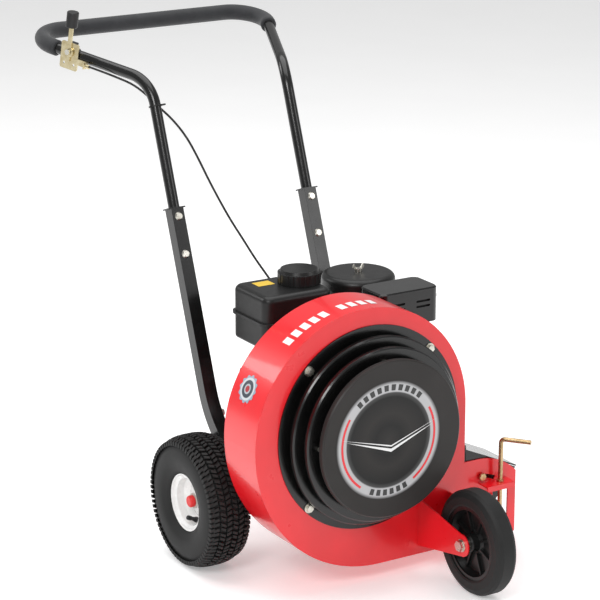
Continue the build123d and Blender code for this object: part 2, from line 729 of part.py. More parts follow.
with BuildPart() as handle_bolts:
    for sign in (-1, 1):
        for down in BOLT_DOWN:
            x = sign * LEG_X
            with BuildSketch(bolt_plane(x, down, -27)):
                Circle(4)
            extrude(amount=27 + LEG_SIZE / 2)
            with BuildSketch(bolt_plane(x, down, LEG_SIZE / 2)):
                Circle(9.3)
            extrude(amount=4.5, taper=30)
            with BuildSketch(bolt_plane(x, down, -LEG_SIZE / 2)):
                Circle(9)
            extrude(amount=-1.6)
            with BuildSketch(bolt_plane(x, down, -LEG_SIZE / 2 - 1.6)):
                RegularPolygon(7.5, 6)
            extrude(amount=-7)
        with BuildSketch(side(sign * (LEG_X - LEG_SIZE / 2))):
            with Locations(LOW_BOLT):
                RegularPolygon(8, 6)
        extrude(amount=-6 * sign)
save(handle_bolts, "handle_bolts")

# ---------------------------------------------------------------- throttle control

tube_dir = Vector(*grip_dir).normalized()
out_dir = Vector(tube_dir.Y * -1, tube_dir.X, 0).normalized()
throttle_at = Vector(*between(bend_right, corner_right, THROTTLE_AT))


def throttle_plane(along, up, out):
    """Plane parallel to the control plate: x runs down the tube to the front, y up, z outward."""
    x_dir = tube_dir * -1
    y_dir = out_dir.cross(x_dir)
    origin = throttle_at + x_dir * along + y_dir * up + out_dir * out
    return Plane(origin=origin, x_dir=x_dir, z_dir=out_dir)


PLATE_OUT = TUBE_R + 1.5
CABLE_UP = -10.0
CABLE_OUT = 8.0
FERRULE_END = 64.0
LEVER_UP = 8.0
with BuildPart() as throttle_plate:
    with BuildSketch(throttle_plane(0, 0, PLATE_OUT)):
        with Locations((0, -2)):
            RectangleRounded(50, 62, 5)
        with Locations((0, LEVER_UP)):
            Circle(4.1, mode=Mode.SUBTRACT)
        with Locations((-14, -20), (14, -20)):
            Circle(3.2, mode=Mode.SUBTRACT)
        with Locations((38, CABLE_UP)):
            Rectangle(30, 14)
    extrude(amount=2.5)
    with BuildSketch(throttle_plane(51.5, CABLE_UP, PLATE_OUT)):
        Rectangle(3, 14)
    extrude(amount=14)
    barrel = throttle_plane(50, CABLE_UP, PLATE_OUT + CABLE_OUT)
    with BuildSketch(Plane(origin=barrel.origin, x_dir=barrel.z_dir, z_dir=barrel.x_dir)):
        Circle(4.5)
    extrude(amount=FERRULE_END - 50)
save(throttle_plate, "throttle_plate")

with BuildPart() as throttle_clamp:
    with BuildSketch(Plane(origin=throttle_at + tube_dir * 9, x_dir=out_dir, z_dir=tube_dir * -1)):
        Circle(TUBE_R + 3)
        with Locations(((TUBE_R + 0.5) / 2, -20)):
            Rectangle(TUBE_R + 3.5, 16)
        Circle(TUBE_R + 0.05, mode=Mode.SUBTRACT)
        with Locations((PLATE_OUT + 5, 0)):
            Rectangle(10, 80, mode=Mode.SUBTRACT)
    extrude(amount=18)
save(throttle_clamp, "throttle_clamp")

with BuildPart() as throttle_pivot:
    with BuildSketch(throttle_plane(0, LEVER_UP, PLATE_OUT)):
        Circle(4)
    extrude(amount=11)
    with BuildSketch(throttle_plane(0, LEVER_UP, PLATE_OUT + 7.5)):
        RegularPolygon(7, 6)
    extrude(amount=5)
save(throttle_pivot, "throttle_pivot_bolt")

LEVER_LENGTH = 60.0
with BuildPart() as throttle_lever:
    with BuildSketch(throttle_plane(0, LEVER_UP, PLATE_OUT + 3)):
        Circle(12)
        with Locations((0, LEVER_LENGTH / 2)):
            Rectangle(11, LEVER_LENGTH)
        with Locations((0, -14)):
            Rectangle(8, 14)
        Circle(4.08, mode=Mode.SUBTRACT)
    extrude(amount=3)
save(throttle_lever, "throttle_lever")

KNOB_R = 13.5
KNOB_HEIGHT = 36.0
knob_top = throttle_plane(0, LEVER_UP + LEVER_LENGTH - 3, PLATE_OUT + 4.5)
with BuildPart() as throttle_knob:
    with BuildSketch(Plane(origin=knob_top.origin, x_dir=knob_top.x_dir, z_dir=knob_top.y_dir)):
        Circle(KNOB_R)
    extrude(amount=KNOB_HEIGHT)
    chamfer(throttle_knob.edges().filter_by(GeomType.CIRCLE), 1.6)
    with BuildSketch(throttle_plane(0, LEVER_UP + LEVER_LENGTH / 2, PLATE_OUT + 3)):
        Rectangle(11, LEVER_LENGTH)
    extrude(amount=3, mode=Mode.SUBTRACT)
save(throttle_knob, "throttle_knob")

# ---------------------------------------------------------------- engine


def block(xs, ys, zs, radius=0.0):
    """An upright box between pairs of limits, its upright edges rounded by radius."""
    with BuildPart() as box:
        with BuildSketch(level(zs[0])):
            with Locations(((xs[0] + xs[1]) / 2, (ys[0] + ys[1]) / 2)):
                if radius:
                    RectangleRounded(xs[1] - xs[0], ys[1] - ys[0], radius)
                else:
                    Rectangle(xs[1] - xs[0], ys[1] - ys[0])
        extrude(amount=zs[1] - zs[0])
    return box.part


DIPSTICK_Y = -45.0
DIPSTICK_Z = 290.0
with BuildPart() as crankcase:
    add(block((-CASE_HALF, CASE_HALF), (CASE_FRONT_Y, CASE_BACK_Y), (ENGINE_Z + 8, 438), 12))
    chamfer(crankcase.edges().group_by(Axis.Z)[-1], 8)
    for y in FOOT_Y:
        add(block((-CASE_HALF - 10, CASE_HALF + 10), (y - 14, y + 14), (ENGINE_Z, ENGINE_Z + 10)))
    add(block((-60, 60), (CASE_FRONT_Y + 15, CASE_BACK_Y - 10), (ENGINE_Z, ENGINE_Z + 9)))
    with BuildSketch(across(CASE_FRONT_Y + 1)):
        with Locations((0, FAN_Z)):
            Circle(45)
    extrude(amount=CASE_FRONT_Y + 1 - BACK_INNER_Y - 1)
    for x in (-85.0, -15.0):
        add(block((x - 8, x + 8), (-70, -40), (430, TANK_Z[0])))
    with BuildSketch(across(CASE_BACK_Y)):
        with Locations((0, FAN_Z)):
            Circle(SHAFT_R + SHAFT_CLEARANCE)
    extrude(amount=160, mode=Mode.SUBTRACT)
    with BuildSketch(side(CASE_HALF - 25)):
        with Locations((DIPSTICK_Y, DIPSTICK_Z)):
            Circle(9.08)
    extrude(amount=30, mode=Mode.SUBTRACT)
    with BuildSketch(level(ENGINE_Z - 1)):
        for y in FOOT_Y:
            with Locations((FOOT_X, y), (-FOOT_X, y)):
                Circle(4.3)
    extrude(amount=40, mode=Mode.SUBTRACT)
    with BuildSketch(level(ENGINE_Z + 10)):
        for y in FOOT_Y:
            with Locations((FOOT_X, y), (-FOOT_X, y)):
                Circle(11)
    extrude(amount=22, mode=Mode.SUBTRACT)
save(crankcase, "crankcase")

tilt = radians(CYLINDER_TILT)


def head_plane(along, across_by=0.0):
    """Plane facing along the tilted cylinder: sketch x is Y, sketch y is the cylinder's upper side."""
    origin = (CASE_HALF - 10 + along * cos(tilt) - across_by * sin(tilt), CYLINDER_Y,
              CYLINDER_Z + along * sin(tilt) + across_by * cos(tilt))
    return Plane(origin=origin, x_dir=(0, 1, 0), z_dir=(cos(tilt), 0, sin(tilt)))


FIN_PITCH = 9.0
with BuildPart() as cylinder:
    with BuildSketch(head_plane(-40)):
        RectangleRounded(78, 78, 20)
    extrude(amount=CYLINDER_LENGTH + 40)
    for i in range(8):
        with BuildSketch(head_plane(8 + i * FIN_PITCH)):
            RectangleRounded(100, 98, 8)
        extrude(amount=3)
    add(block((104, 130), (-114, -86), (410, 464)))
    add(block((104, 152), (-114, -86), (462, 470)))
    with BuildSketch(side(CASE_HALF)):
        with Locations((CYLINDER_Y, CYLINDER_Z)):
            Rectangle(300, 400)
    extrude(amount=-200, mode=Mode.SUBTRACT)
save(cylinder, "cylinder")

with BuildPart() as rocker_cover:
    with BuildSketch(head_plane(CYLINDER_LENGTH + 1)):
        RectangleRounded(92, 80, 14)
    extrude(amount=4)
    with BuildSketch(head_plane(CYLINDER_LENGTH + 5)):
        RectangleRounded(80, 66, 14)
    extrude(amount=22, taper=6)
    fillet(rocker_cover.faces().sort_by(Axis.X)[-1].edges(), 4)
save(rocker_cover, "rocker_cover")

with BuildPart() as spark_plug:
    with BuildSketch(Plane.XZ.offset(34.8)):
        with Locations((152, 402)):
            Circle(8)
    extrude(amount=-16)
    with BuildSketch(Plane.XZ.offset(18.8)):
        with Locations((152, 402)):
            Circle(11)
    extrude(amount=-26)
save(spark_plug, "spark_plug")

RECOIL_BACK_Y = 64.0
with BuildPart() as recoil_cover:
    with BuildSketch(across(RECOIL_BACK_Y - 22)):
        with Locations((0, FAN_Z)):
            Circle(98)
    extrude(amount=RECOIL_BACK_Y - 22 - CASE_BACK_Y)
    with BuildSketch(across(RECOIL_BACK_Y)):
        with Locations((0, FAN_Z)):
            Circle(74)
    extrude(amount=22)
    chamfer(recoil_cover.edges().filter_by(GeomType.CIRCLE).group_by(Axis.Y)[-1], 6)
    with BuildSketch(across(RECOIL_BACK_Y - 26)):
        with Locations((0, FAN_Z)):
            Circle(92)
    extrude(amount=RECOIL_BACK_Y - 26 - CASE_BACK_Y, mode=Mode.SUBTRACT)
    with BuildSketch(across(RECOIL_BACK_Y)):
        with Locations((0, FAN_Z)):
            with PolarLocations(50, 18):
                SlotOverall(26, 6)
    extrude(amount=27, mode=Mode.SUBTRACT)
    with BuildSketch(side(-96)):
        with Locations((20, 400)):
            Circle(12)
    extrude(amount=24)
    with BuildSketch(side(-96)):
        with Locations((20, 400)):
            Circle(5)
    extrude(amount=30, mode=Mode.SUBTRACT)
save(recoil_cover, "recoil_cover")

with BuildPart() as recoil_handle:
    with BuildSketch(side(-97)):
        with Locations((20, 400)):
            Circle(3)
    extrude(amount=26)
    with BuildSketch(side(-97)):
        with Locations((20, 400)):
            SlotOverall(74, 20)
    extrude(amount=-20)
    fillet(recoil_handle.faces().sort_by(Axis.X)[0].edges(), 5)
save(recoil_handle, "recoil_handle")

SWITCH_X = 62.0
SWITCH_Z = 425.0
with BuildPart() as stop_switch:
    with BuildSketch(across(RECOIL_BACK_Y - 21.7 + 16)):
        with Locations((SWITCH_X, SWITCH_Z)):
            Circle(9)
            with Locations((0, 6)):
                Rectangle(8, 18)
    extrude(amount=16)
save(stop_switch, "stop_switch")

TANK_LIP = 5.0
with BuildPart() as tank:
    add(block(TANK_X, TANK_Y, TANK_Z, 22))
    fillet(tank.edges().group_by(Axis.Z)[-1], 14)
    fillet(tank.edges().group_by(Axis.Z)[0], 8)
    add(block((TANK_X[0] - TANK_LIP, TANK_X[1] + TANK_LIP), (TANK_Y[0] - TANK_LIP, TANK_Y[1] + TANK_LIP),
          (TANK_SEAM_Z - 3, TANK_SEAM_Z + 3), 26))
    with BuildSketch(level(TANK_Z[1] - 4)):
        with Locations((CAP_X, 0)):
            Circle(27)
    extrude(amount=14)
    add(block((TANK_X[0] + 3, TANK_X[1] - 3), (TANK_Y[0] + 3, TANK_Y[1] - 3),
              (TANK_Z[0] + 3, TANK_Z[1] - 12), 19), mode=Mode.SUBTRACT)
save(tank, "fuel_tank")

CAP_Z = TANK_Z[1] + 0.4
CAP_HEIGHT = 31.0
with BuildPart() as fuel_cap:
    with BuildSketch(level(CAP_Z)):
        with Locations((CAP_X, 0)):
            Circle(CAP_R)
            with PolarLocations(CAP_R + 1, 24):
                Circle(2.2, mode=Mode.SUBTRACT)
    extrude(amount=CAP_HEIGHT - 7)
    with BuildSketch(level(CAP_Z + CAP_HEIGHT - 7)):
        with Locations((CAP_X, 0)):
            Circle(CAP_R - 4)
    extrude(amount=7, taper=20)
    with BuildSketch(level(CAP_Z)):
        with Locations((CAP_X, 0)):
            Circle(27.4)
    extrude(amount=12, mode=Mode.SUBTRACT)
save(fuel_cap, "fuel_cap")

with BuildPart() as cleaner_base:
    with BuildSketch(level(CLEANER_Z[0])):
        with Locations((CLEANER_X, CLEANER_Y)):
            Circle(CLEANER_R - 6)
    extrude(amount=CLEANER_Z[1] - CLEANER_Z[0], taper=-6)
save(cleaner_base, "air_cleaner_base")

LID_NUT_R = 3.0
with BuildPart() as cleaner_lid:
    with BuildSketch(level(CLEANER_Z[1])):
        with Locations((CLEANER_X, CLEANER_Y)):
            Circle(CLEANER_R)
    extrude(amount=CLEANER_Z[2] - CLEANER_Z[1])
    fillet(cleaner_lid.edges().group_by(Axis.Z)[-1], 14)
    with BuildSketch(level(CLEANER_Z[2])):
        with Locations((CLEANER_X, CLEANER_Y)):
            Circle(LID_NUT_R)
    extrude(amount=8)
save(cleaner_lid, "air_cleaner_lid")

with BuildPart() as wing_nut:
    with BuildSketch(level(CLEANER_Z[2] + 0.3)):
        with Locations((CLEANER_X, CLEANER_Y)):
            Circle(8)
            Circle(LID_NUT_R + 0.08, mode=Mode.SUBTRACT)
    extrude(amount=8)
    with BuildSketch(across(CLEANER_Y + 1.5)):
        for sign in (-1, 1):
            with BuildLine():
                low = CLEANER_Z[2] + 2
                Polyline((CLEANER_X + sign * 6, low), (CLEANER_X + sign * 15, low + 9),
                         (CLEANER_X + sign * 12, low + 17), (CLEANER_X + sign * 5, low + 6),
                         (CLEANER_X + sign * 6, low))
            make_face()
    extrude(amount=3)
save(wing_nut, "wing_nut")

CARB_X = (112.0, 172.0)
CARB_Y = (-32.0, 24.0)
CHOKE_Z = 505.0
with BuildPart() as carburettor:
    add(block(CARB_X, CARB_Y, (470, CLEANER_Z[0]), 6))
    with BuildSketch(level(438)):
        with Locations((140, -5)):
            Circle(18)
    extrude(amount=34)
    add(block((128, 152), (-34.8, 0), (436, 460)))
    with BuildSketch(across(CARB_Y[1] + 12)):
        with Locations((145, CHOKE_Z)):
            Circle(3)
    extrude(amount=14)
save(carburettor, "carburettor")

with BuildPart() as choke_lever:
    with BuildSketch(across(CARB_Y[1] + 8)):
        with Locations((145, CHOKE_Z)):
            Circle(8)
            with Locations((16, 0)):
                Rectangle(32, 8)
            Circle(3.08, mode=Mode.SUBTRACT)
    extrude(amount=5)
save(choke_lever, "choke_lever")

MUFFLER_X = (122.0, 262.0)
MUFFLER_Y = (-147.0, -66.0)
MUFFLER_Z = (512.0, 582.0)
with BuildPart() as muffler:
    add(block(MUFFLER_X, MUFFLER_Y, MUFFLER_Z, 16))
    fillet(muffler.edges().group_by(Axis.Z)[-1], 9)
    fillet(muffler.edges().group_by(Axis.Z)[0], 9)
    with BuildSketch(level(470)):
        with Locations((137, -100)):
            Circle(12)
    extrude(amount=50)
    with BuildSketch(side(MUFFLER_X[1] - 6)):
        with Locations((-120, 560)):
            Circle(12)
    extrude(amount=18)
    with BuildSketch(side(MUFFLER_X[1] - 6)):
        with Locations((-120, 560)):
            Circle(9.5)
    extrude(amount=20, mode=Mode.SUBTRACT)
save(muffler, "muffler")

GUARD_GAP = 4.0
GUARD_SHEET = 1.5
with BuildPart() as muffler_guard:
    outer = GUARD_GAP + GUARD_SHEET
    add(block((MUFFLER_X[0] - outer, MUFFLER_X[1] + outer), (MUFFLER_Y[0] - outer, MUFFLER_Y[1] + outer),
          (MUFFLER_Z[0] - 2, MUFFLER_Z[1] + outer), 18))
    chamfer(muffler_guard.edges().group_by(Axis.Z)[-1], 3)
    add(block((MUFFLER_X[0] - GUARD_GAP, MUFFLER_X[1] + GUARD_GAP),
              (MUFFLER_Y[0] - GUARD_GAP, MUFFLER_Y[1] + GUARD_GAP),
              (MUFFLER_Z[0] - 3, MUFFLER_Z[1] + 1), 16), mode=Mode.SUBTRACT)
    with BuildSketch(side(MUFFLER_X[1])):
        with Locations((-120, 560)):
            Circle(13)
    extrude(amount=20, mode=Mode.SUBTRACT)
    with BuildSketch(side(MUFFLER_X[1])):
        with Locations((-84, 545), (-84, 556), (-84, 567)):
            SlotOverall(22, 4)
    extrude(amount=20, mode=Mode.SUBTRACT)
    with BuildSketch(across(MUFFLER_Y[0])):
        for z in (548, 560):
            with Locations((225, z), (160, z)):
                SlotOverall(36, 5)
    extrude(amount=20, mode=Mode.SUBTRACT)
save(muffler_guard, "muffler_guard")

with BuildPart() as dipstick:
    with BuildSketch(side(CASE_HALF - 22)):
        with Locations((DIPSTICK_Y, DIPSTICK_Z)):
            Circle(9)
    extrude(amount=22.3)
    with BuildSketch(side(CASE_HALF + 0.3)):
        with Locations((DIPSTICK_Y, DIPSTICK_Z)):
            Circle(15)
            with PolarLocations(16, 8):
                Circle(3, mode=Mode.SUBTRACT)
    extrude(amount=14)
save(dipstick, "dipstick")

with BuildPart() as engine_bolts:
    for y in FOOT_Y:
        for x in (-FOOT_X, FOOT_X):
            with BuildSketch(level(DECK_Z - 9)):
                with Locations((x, y)):
                    RegularPolygon(7.5, 6)
            extrude(amount=9)
            with BuildSketch(level(DECK_Z)):
                with Locations((x, y)):
                    Circle(4)
            extrude(amount=DECK_SHEET + 10)
            with BuildSketch(level(ENGINE_Z + 10)):
                with Locations((x, y)):
                    RegularPolygon(7.5, 6)
            extrude(amount=6)
save(engine_bolts, "engine_bolts")

# ---------------------------------------------------------------- throttle cable

BRACKET_Z = 462.0
CABLE_END = (38.0, 92.0, BRACKET_Z + 4)
with BuildPart() as control_bracket:
    add(block((30, 46), (-26, 98), (BRACKET_Z, BRACKET_Z + 3)))
    add(block((30, 46), (-26, -18), (438, BRACKET_Z + 1)))
    with BuildSketch(level(BRACKET_Z - 5)):
        with Locations(CABLE_END[:2]):
            Circle(6)
    extrude(amount=9)
save(control_bracket, "control_bracket")

cable_start = throttle_plane(FERRULE_END, CABLE_UP, PLATE_OUT + CABLE_OUT).origin
cable_leaves = throttle_plane(FERRULE_END + 38, CABLE_UP, PLATE_OUT + CABLE_OUT).origin
CABLE_ROUTE = [tuple(cable_start), tuple(cable_leaves), (-209, 424, 997), (-186, 399, 985),
               (-170, 371, 968), (-159, 332, 945), (-127, 318, 911), (-103, 300, 872),
               (-88, 277, 827), (-76, 254, 783), (-62, 232, 740), (-46, 211, 697),
               (-27, 189, 655), (-9, 166, 612), (10, 143, 574), (25, 120, 540),
               (38, 92, 506), CABLE_END]


def cord_radii(points):
    """Largest radius that each corner's two runs allow."""
    radii = []
    for before, corner, after in zip(points, points[1:], points[2:]):
        run_in = Vector(*corner) - Vector(*before)
        run_out = Vector(*after) - Vector(*corner)
        shorter = min(run_in.length, run_out.length)
        radii.append(0.45 * shorter / tan(radians(run_in.get_angle(run_out)) / 2))
    return radii


radii = cord_radii(CABLE_ROUTE)
print("cable radii", [round(r) for r in radii])
with BuildPart() as cable:
    with BuildLine() as cable_line:
        FilletPolyline(*CABLE_ROUTE, radius=radii)
    with BuildSketch(Plane(origin=CABLE_ROUTE[0], z_dir=Vector(*CABLE_ROUTE[1]) - Vector(*CABLE_ROUTE[0]))):
        Circle(CABLE_R)
    sweep()
cable_length = sum(edge.length for edge in cable_line.edges())
print("cable length", round(cable_length, 1), "volume over section times length",
      round(cable.part.volume / (cable_length * pi * CABLE_R ** 2), 4))
save(cable, "throttle_cable")

CLIP_DOWN = -228.0
clip_axis = on_leg(-LEG_X, CLIP_DOWN)
clip_cable = (12.0, -13.0)
with BuildPart() as cable_clip:
    with BuildSketch(Plane(origin=clip_axis, x_dir=(1, 0, 0), z_dir=LEG_DIR)):
        Circle(TUBE_R + 2.5)
        with Locations(clip_cable):
            Circle(6.5)
        Circle(TUBE_R + 0.05, mode=Mode.SUBTRACT)
        with Locations(clip_cable):
            Circle(4.4, mode=Mode.SUBTRACT)
    extrude(amount=3)
save(cable_clip, "cable_clip")
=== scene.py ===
import bpy
import json
from math import cos, pi, radians, sin, tau
from mathutils import Matrix, Vector


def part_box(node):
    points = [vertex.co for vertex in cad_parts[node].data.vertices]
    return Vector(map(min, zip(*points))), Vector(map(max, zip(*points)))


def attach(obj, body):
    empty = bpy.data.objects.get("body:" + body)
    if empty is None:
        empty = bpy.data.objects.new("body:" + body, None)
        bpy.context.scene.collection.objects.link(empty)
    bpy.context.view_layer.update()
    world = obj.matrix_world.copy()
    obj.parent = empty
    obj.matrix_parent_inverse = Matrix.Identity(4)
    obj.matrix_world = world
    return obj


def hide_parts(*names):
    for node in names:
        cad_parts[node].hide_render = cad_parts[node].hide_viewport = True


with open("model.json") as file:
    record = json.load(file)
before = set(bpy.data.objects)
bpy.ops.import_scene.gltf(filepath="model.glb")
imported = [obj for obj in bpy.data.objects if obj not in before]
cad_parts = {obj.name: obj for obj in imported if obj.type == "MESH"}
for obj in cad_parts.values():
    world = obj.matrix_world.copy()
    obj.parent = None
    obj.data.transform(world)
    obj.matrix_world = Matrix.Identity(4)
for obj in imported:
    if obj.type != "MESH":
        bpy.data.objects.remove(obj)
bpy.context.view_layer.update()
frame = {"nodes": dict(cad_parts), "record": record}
MM = 0.001
SHIFT = Vector((-42.7, -73.1, 0.0)) * MM

# ---------------------------------------------------------------- helpers


def middle(node):
    low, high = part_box(node)
    return (Vector(low) + Vector(high)) / 2


def new_object(name, mesh, body, material, smooth=True):
    """A mesh piece that rides on a body."""
    piece = bpy.data.objects.new(name, mesh)
    bpy.context.scene.collection.objects.link(piece)
    mesh.materials.append(material)
    if smooth:
        mesh.shade_smooth()
    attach(piece, body)
    return piece


def mesh_from(name, points, faces):
    mesh = bpy.data.meshes.new(name)
    mesh.from_pydata([tuple(p) for p in points], [], faces)
    mesh.update()
    return mesh


def soften(piece, width):
    bevel = piece.modifiers.new("edge", "BEVEL")
    bevel.width = width
    bevel.segments = 2
    bevel.limit_method = "ANGLE"
    bevel.angle_limit = radians(40)
    bevel.harden_normals = False


def lathe(name, profile, centre, steps):
    """Turns a closed outline of (across, radius) points about an axle along X through centre."""
    points = []
    for i in range(steps):
        turn = tau * i / steps
        for across, radius in profile:
            points.append((centre[0] + across, centre[1] + radius * cos(turn),
                           centre[2] + radius * sin(turn)))
    count = len(profile)
    faces = []
    for i in range(steps):
        here = i * count
        there = (i + 1) % steps * count
        for j in range(count):
            k = (j + 1) % count
            faces.append((here + j, here + k, there + k, there + j))
    return mesh_from(name, points, faces)


# ---------------------------------------------------------------- materials


class Material:
    """A node material with a Principled shader and a few wiring shortcuts."""

    def __init__(self, name, colour, roughness, metallic=0.0, coat=0.0):
        self.data = bpy.data.materials.new(name)
        self.data.use_nodes = True
        self.nodes = self.data.node_tree.nodes
        self.links = self.data.node_tree.links
        self.shader = self.nodes["Principled BSDF"]
        self.shader.inputs["Base Color"].default_value = (*colour, 1)
        self.shader.inputs["Roughness"].default_value = roughness
        self.shader.inputs["Metallic"].default_value = metallic
        self.shader.inputs["Coat Weight"].default_value = coat
        self.shader.inputs["Coat Roughness"].default_value = 0.06
        self.coords = self.nodes.new("ShaderNodeTexCoord").outputs["Object"]
        self.normal = None

    def noise(self, scale, detail=3.0, rough=0.55):
        node = self.nodes.new("ShaderNodeTexNoise")
        node.inputs["Scale"].default_value = scale
        node.inputs["Detail"].default_value = detail
        node.inputs["Roughness"].default_value = rough
        self.links.new(self.coords, node.inputs["Vector"])
        return node.outputs["Fac"]

    def ramp(self, source, stops):
        node = self.nodes.new("ShaderNodeValToRGB")
        elements = node.color_ramp.elements
        while len(elements) < len(stops):
            elements.new(0.5)
        for element, (place, colour) in zip(elements, stops):
            element.position = place
            element.color = (*colour, 1)
        self.links.new(source, node.inputs["Fac"])
        return node.outputs["Color"]

    def colour(self, source, stops):
        self.links.new(self.ramp(source, stops), self.shader.inputs["Base Color"])

    def roughness(self, source, low, high):
        node = self.nodes.new("ShaderNodeMapRange")
        node.inputs["To Min"].default_value = low
        node.inputs["To Max"].default_value = high
        self.links.new(source, node.inputs["Value"])
        self.links.new(node.outputs["Result"], self.shader.inputs["Roughness"])

    def rounded(self, radius=0.0009):
        """Rounds hard edges in the shading only."""
        node = self.nodes.new("ShaderNodeBevel")
        node.samples = 4
        node.inputs["Radius"].default_value = radius
        self.normal = node.outputs["Normal"]
        self.links.new(self.normal, self.shader.inputs["Normal"])

    def bump(self, source, strength, distance):
        node = self.nodes.new("ShaderNodeBump")
        node.inputs["Strength"].default_value = strength
        node.inputs["Distance"].default_value = distance
        self.links.new(source, node.inputs["Height"])
        if self.normal:
            self.links.new(self.normal, node.inputs["Normal"])
        self.normal = node.outputs["Normal"]
        self.links.new(self.normal, self.shader.inputs["Normal"])


def red_paint():
    paint = Material("red_powder_coat", (0.78, 0.004, 0.010), 0.28, coat=0.5)
    cloud = paint.noise(9.0)
    paint.colour(cloud, [(0.3, (0.72, 0.003, 0.009)), (0.7, (0.82, 0.005, 0.013))])
    paint.roughness(paint.noise(38.0), 0.24, 0.36)
    paint.rounded(0.0012)
    paint.bump(paint.noise(420.0, 2.0), 0.05, 0.0004)
    return paint.data


def black_paint():
    paint = Material("black_powder_coat", (0.004, 0.004, 0.004), 0.24, coat=0.25)
    paint.shader.inputs["Specular IOR Level"].default_value = 0.4
    paint.colour(paint.noise(14.0), [(0.35, (0.003, 0.003, 0.003)), (0.7, (0.006, 0.006, 0.006))])
    paint.roughness(paint.noise(30.0), 0.17, 0.30)
    paint.rounded(0.001)
    paint.bump(paint.noise(500.0, 2.0), 0.05, 0.0003)
    return paint.data


def charcoal_paint():
    paint = Material("charcoal_satin", (0.022, 0.019, 0.018), 0.42)
    paint.shader.inputs["Specular IOR Level"].default_value = 0.3
    paint.colour(paint.noise(7.0), [(0.3, (0.018, 0.016, 0.015)), (0.75, (0.025, 0.022, 0.021))])
    paint.roughness(paint.noise(26.0), 0.36, 0.50)
    paint.rounded(0.0012)
    paint.bump(paint.noise(700.0, 2.0), 0.12, 0.0003)
    return paint.data


def plated(name, dark, light, roughness):
    metal = Material(name, light, roughness, metallic=1.0)
    metal.colour(metal.noise(60.0, 4.0), [(0.3, dark), (0.7, light)])
    metal.roughness(metal.noise(180.0, 4.0), roughness - 0.08, roughness + 0.12)
    metal.rounded(0.0006)
    metal.bump(metal.noise(900.0), 0.08, 0.0002)
    return metal.data


def moulded(name, dark, light, roughness, grain):
    plastic = Material(name, light, roughness)
    plastic.shader.inputs["Specular IOR Level"].default_value = 0.35
    plastic.colour(plastic.noise(11.0), [(0.3, dark), (0.75, light)])
    plastic.roughness(plastic.noise(55.0), roughness - 0.07, roughness + 0.09)
    plastic.rounded(0.0011)
    plastic.bump(plastic.noise(1100.0, 2.0), grain, 0.0004)
    return plastic.data


def rubber():
    tyre = Material("tyre_rubber", (0.010, 0.010, 0.010), 0.58)
    tyre.shader.inputs["Specular IOR Level"].default_value = 0.35
    dust = tyre.noise(22.0, 5.0)
    tyre.colour(dust, [(0.35, (0.007, 0.007, 0.007)), (0.62, (0.011, 0.011, 0.011)),
                       (0.85, (0.020, 0.019, 0.018))])
    tyre.roughness(dust, 0.50, 0.74)
    tyre.bump(tyre.noise(650.0, 3.0), 0.18, 0.0005)
    return tyre.data


def foam():
    grip = Material("foam_rubber", (0.020, 0.021, 0.024), 0.64)
    grip.shader.inputs["Specular IOR Level"].default_value = 0.35
    grip.colour(grip.noise(35.0), [(0.3, (0.014, 0.015, 0.017)), (0.75, (0.024, 0.025, 0.028))])
    grip.bump(grip.noise(1500.0, 4.0, 0.7), 0.35, 0.0005)
    grip.shader.inputs["Sheen Weight"].default_value = 0.15
    return grip.data


def cast_metal():
    metal = Material("cast_alloy", (0.36, 0.36, 0.37), 0.45, metallic=0.9)
    metal.colour(metal.noise(40.0, 5.0), [(0.3, (0.26, 0.26, 0.27)), (0.7, (0.42, 0.42, 0.43))])
    metal.rounded(0.0012)
    metal.bump(metal.noise(420.0, 4.0), 0.3, 0.0006)
    return metal.data


def white_paint():
    paint = Material("white_enamel", (0.82, 0.82, 0.81), 0.25, coat=0.4)
    paint.colour(paint.noise(18.0), [(0.3, (0.76, 0.76, 0.75)), (0.7, (0.85, 0.85, 0.84))])
    paint.roughness(paint.noise(60.0), 0.2, 0.34)
    paint.rounded(0.001)
    paint.bump(paint.noise(480.0), 0.05, 0.0003)
    return paint.data


def decal(name, colour, roughness=0.3):
    film = Material(name, colour, roughness, coat=0.2)
    dark = tuple(c * 0.93 for c in colour)
    film.colour(film.noise(60.0), [(0.3, dark), (0.7, colour)])
    film.bump(film.noise(700.0), 0.03, 0.0002)
    return film.data


RED = red_paint()
BLACK = black_paint()
CHARCOAL = charcoal_paint()
ZINC = plated("zinc_plate", (0.50, 0.48, 0.42), (0.78, 0.76, 0.69), 0.28)
STEEL = plated("ground_steel", (0.42, 0.42, 0.43), (0.62, 0.62, 0.63), 0.26)
YELLOW_ZINC = plated("yellow_zinc", (0.52, 0.43, 0.24), (0.76, 0.68, 0.46), 0.30)
PIN_ZINC = plated("pin_zinc", (0.34, 0.23, 0.11), (0.60, 0.44, 0.25), 0.26)
PLASTIC = moulded("black_plastic", (0.006, 0.006, 0.006), (0.011, 0.011, 0.011), 0.36, 0.16)
KNOB = moulded("knob_plastic", (0.010, 0.010, 0.011), (0.016, 0.016, 0.017), 0.30, 0.06)
HUB = moulded("hub_plastic", (0.006, 0.006, 0.006), (0.010, 0.010, 0.010), 0.32, 0.08)
RED_PLASTIC = moulded("red_plastic", (0.62, 0.02, 0.02), (0.75, 0.03, 0.03), 0.32, 0.05)
NYLON = moulded("nylon", (0.40, 0.39, 0.35), (0.50, 0.49, 0.45), 0.45, 0.1)
RUBBER = rubber()
FOAM = foam()
CAST = cast_metal()
WHITE = white_paint()
ENGINE_BLACK = moulded("engine_enamel", (0.006, 0.006, 0.006), (0.011, 0.011, 0.011), 0.36, 0.2)
CABLE = moulded("cable_sheath", (0.010, 0.010, 0.010), (0.018, 0.018, 0.018), 0.36, 0.1)

